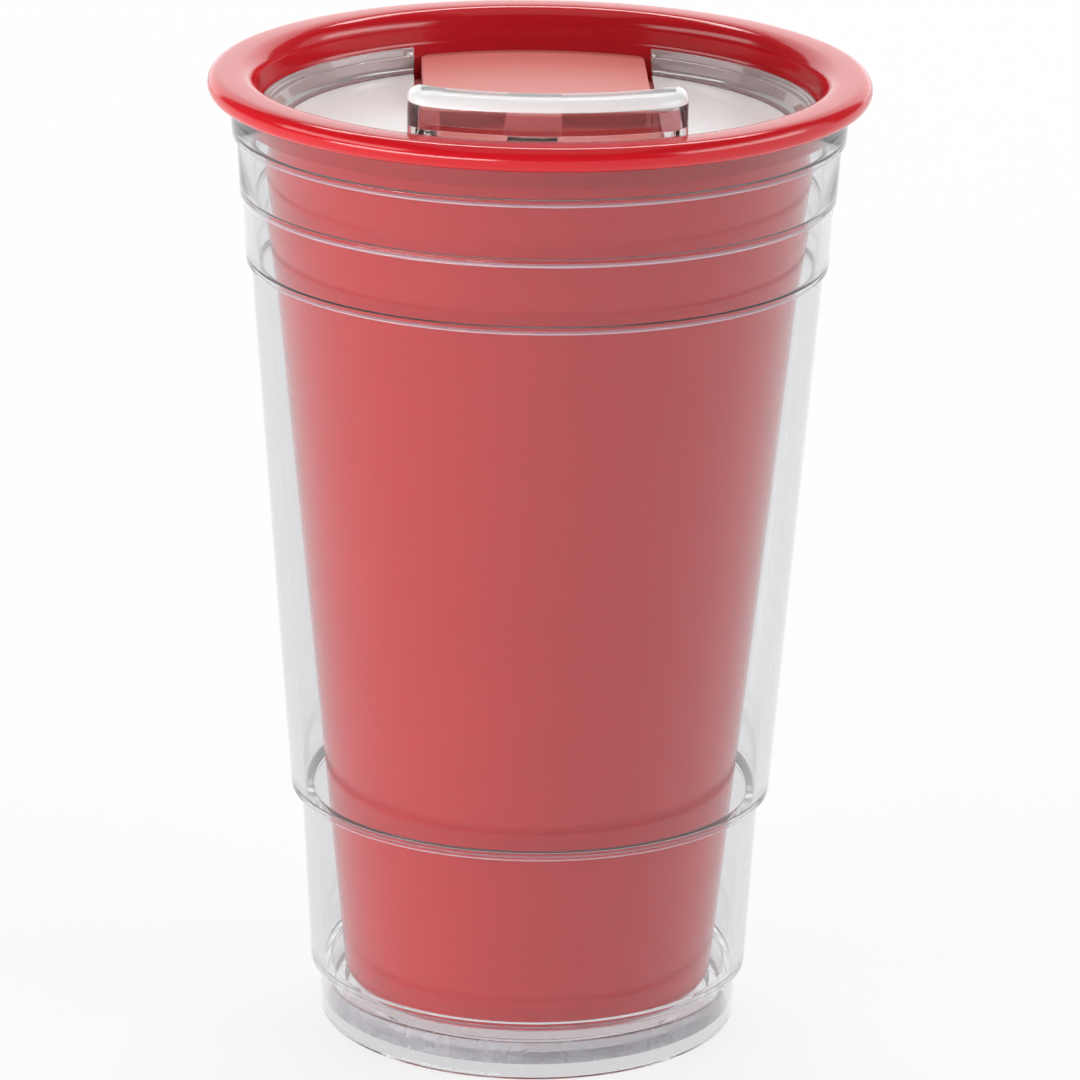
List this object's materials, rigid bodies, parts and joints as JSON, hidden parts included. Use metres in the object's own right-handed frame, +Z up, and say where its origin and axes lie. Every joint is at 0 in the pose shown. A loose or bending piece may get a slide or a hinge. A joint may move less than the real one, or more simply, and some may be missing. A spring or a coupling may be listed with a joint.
{
  "type": "double wall tumbler",
  "caption": "Double wall party tumbler: coloured inner cup in a clear stepped outer shell, with a clear drop-in lid that has a raised spout and a thumb slider",
  "frame": {"origin": "centre of the foot ring, on the surface the tumbler stands on", "axes": "+Z up along the cup's axis to the lip; the spout faces -Y and the thumb slider is parked towards +Y; X runs across the slide channel"},
  "size_m": [0.101, 0.101, 0.1578],
  "materials": {
    "clear_shell": "clear polished plastic",
    "clear_base": "clear polished plastic with a bonded edge",
    "red_cup": "glossy red plastic",
    "clear_lid": "clear plastic, faintly hazy",
    "seal": "translucent silicone",
    "red_slider": "satin red plastic"
  },
  "bodies": {
    "cup": {"outer_shell": "clear_shell", "base_plug": "clear_base", "inner_cup": "red_cup"},
    "lid": {"lid_body": "clear_lid", "lid_seal": "seal"},
    "slider": {"thumb_slider": "red_slider"}
  },
  "joints": [
    {"name": "lid_lift", "type": "slide", "parent": "cup", "child": "lid", "axis": [0, 0, 1], "range_m": [0, 0.03]},
    {"name": "slider_travel", "type": "slide", "parent": "lid", "child": "slider", "axis": [0, -1, 0], "range_m": [0, 0.01]}
  ]
}
